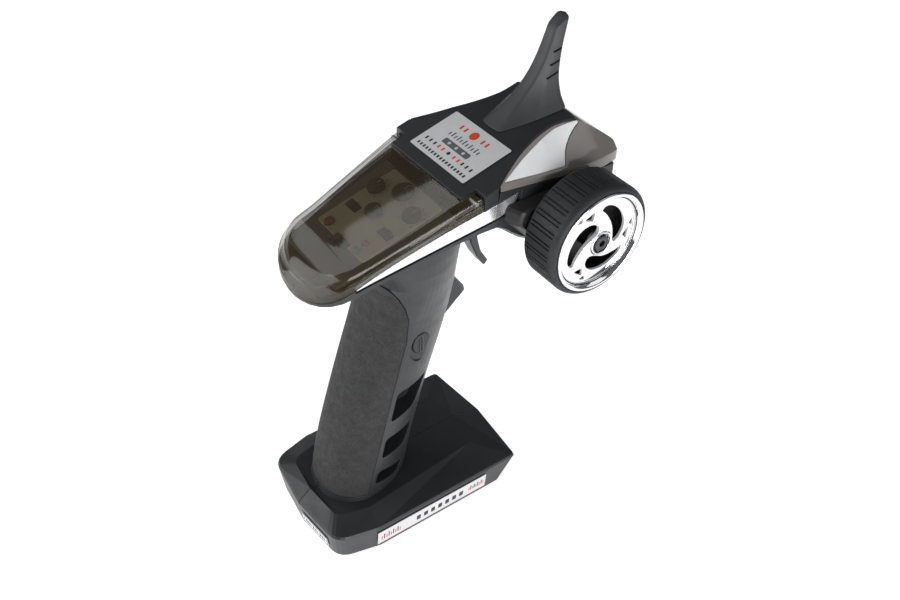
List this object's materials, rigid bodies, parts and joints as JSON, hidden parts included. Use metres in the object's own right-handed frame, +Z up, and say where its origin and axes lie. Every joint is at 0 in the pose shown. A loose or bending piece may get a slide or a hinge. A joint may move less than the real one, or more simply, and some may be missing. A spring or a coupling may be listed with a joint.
{
  "type": "pistol-grip radio transmitter",
  "caption": "Pistol-grip radio transmitter for model cars, with a side steering wheel, trigger, fin aerial and smoked flip cover over trim controls.",
  "frame": {"origin": "underside of the foot, on the centre seam, under the middle of the foot", "axes": "+Z up, +Y towards the nose and aerial, +X towards the steering wheel"},
  "size_m": [0.0975, 0.158, 0.2354],
  "materials": {
    "shell": "satin charcoal moulding",
    "pad": "fine leather-grain texture",
    "smoked": "smoked, clear, glossy",
    "nose": "smoke grey, glossy",
    "silver": "silver white foil",
    "label": "printed film",
    "brass": "plain",
    "plate": "silver grey paint",
    "knob": "matt black",
    "button_red": "red",
    "lamp_red": "tinted lens",
    "lamp_green": "tinted lens",
    "board": "solder mask",
    "steel": "plain",
    "tyre": "matt rubber",
    "chrome": "polished",
    "cell": "printed wrap",
    "screw": "blackened",
    "lead": "wire insulation"
  },
  "bodies": {
    "chassis": {"left_shell": "shell", "right_shell": "shell", "grip_pad": "pad", "top_cover": "shell", "hinge_pin_left": "steel", "hinge_pin_right": "steel", "nose_cap": "nose", "trim_stripe_left": "silver", "trim_stripe_right": "silver", "white_panel_left": "silver", "white_panel_right": "silver", "deck_label": "label", "aerial_fin": "shell", "aerial_rod": "brass", "control_plate": "plate", "lamp_power": "lamp_red", "lamp_charge": "lamp_green", "main_board": "board", "radio_module": "steel", "sounder": "knob", "shaft_bush": "brass", "centring_spring": "steel", "steering_pot": "steel", "wheel_housing": "knob", "trigger_pin": "steel", "trigger_spring": "steel", "throttle_pot": "steel", "tact_switch": "steel", "battery_pack": "cell", "charge_socket": "steel", "foot_pad_rear_left": "pad", "foot_pad_rear_right": "pad", "foot_pad_front_left": "pad", "foot_pad_front_right": "pad", "shell_screw_foot_rear": "screw", "shell_screw_foot_front": "screw", "shell_screw_grip_low": "screw", "shell_screw_grip_high": "screw", "battery_lead": "lead", "side_label": "label", "rear_label": "label"},
    "wheel": {"wheel_tyre": "tyre", "wheel_rim": "chrome", "wheel_nut": "knob", "steering_shaft": "steel"},
    "trigger": {"trigger": "shell"},
    "flip_cover": {"flip_cover": "smoked"},
    "knob_steering_trim": {"knob_steering_trim": "knob"},
    "knob_throttle_trim": {"knob_throttle_trim": "knob"},
    "knob_dual_rate": {"knob_dual_rate": "knob"},
    "knob_end_point": {"knob_end_point": "knob"},
    "switch_steering_reverse": {"switch_steering_reverse": "knob"},
    "switch_throttle_reverse": {"switch_throttle_reverse": "knob"},
    "switch_power": {"switch_power": "knob"},
    "bind_button": {"bind_button": "button_red"},
    "channel_button": {"channel_button": "shell"},
    "battery_door": {"battery_door": "shell"}
  },
  "joints": [
    {"name": "steering", "type": "hinge", "parent": "chassis", "child": "wheel", "pos_m": [0, 0.0692, 0.1621], "axis": [1, 0, 0], "range_deg": [-35, 35], "stiffness_Nm_per_rad": 0.05},
    {"name": "throttle", "type": "hinge", "parent": "chassis", "child": "trigger", "pos_m": [0, 0.047, 0.168], "axis": [1, 0, 0], "range_deg": [-10, 8], "stiffness_Nm_per_rad": 0.1},
    {"name": "cover_hinge", "type": "hinge", "parent": "chassis", "child": "flip_cover", "pos_m": [0, 0.0256, 0.1818], "axis": [-1, 0, 0], "range_deg": [0, 100]},
    {"name": "steering_trim_turn", "type": "hinge", "parent": "chassis", "child": "knob_steering_trim", "pos_m": [0.0126, 0.0068, 0.17153], "axis": [0, -0.2653, 0.9642], "range_deg": [-140, 140]},
    {"name": "throttle_trim_turn", "type": "hinge", "parent": "chassis", "child": "knob_throttle_trim", "pos_m": [-0.0142, 0.0062, 0.17137], "axis": [0, -0.2653, 0.9642], "range_deg": [-140, 140]},
    {"name": "dual_rate_turn", "type": "hinge", "parent": "chassis", "child": "knob_dual_rate", "pos_m": [-0.0016, 0.012, 0.17296], "axis": [0, -0.2653, 0.9642], "range_deg": [-140, 140]},
    {"name": "end_point_turn", "type": "hinge", "parent": "chassis", "child": "knob_end_point", "pos_m": [-0.0022, -0.0026, 0.16894], "axis": [0, -0.2653, 0.9642], "range_deg": [-140, 140]},
    {"name": "steering_reverse_slide", "type": "slide", "parent": "chassis", "child": "switch_steering_reverse", "axis": [1, 0, 0], "range_m": [0, 0.0024]},
    {"name": "throttle_reverse_slide", "type": "slide", "parent": "chassis", "child": "switch_throttle_reverse", "axis": [1, 0, 0], "range_m": [0, 0.0024]},
    {"name": "power_slide", "type": "slide", "parent": "chassis", "child": "switch_power", "axis": [1, 0, 0], "range_m": [0, 0.0032]},
    {"name": "bind_press", "type": "slide", "parent": "chassis", "child": "bind_button", "axis": [0, 0.2653, -0.9642], "range_m": [0, 0.0007], "stiffness_N_per_m": 200},
    {"name": "channel_press", "type": "slide", "parent": "chassis", "child": "channel_button", "axis": [-1, 0, 0], "range_m": [0, 0.001], "stiffness_N_per_m": 200},
    {"name": "battery_door_slide", "type": "slide", "parent": "chassis", "child": "battery_door", "axis": [0, 1, 0], "range_m": [0, 0.06]}
  ]
}
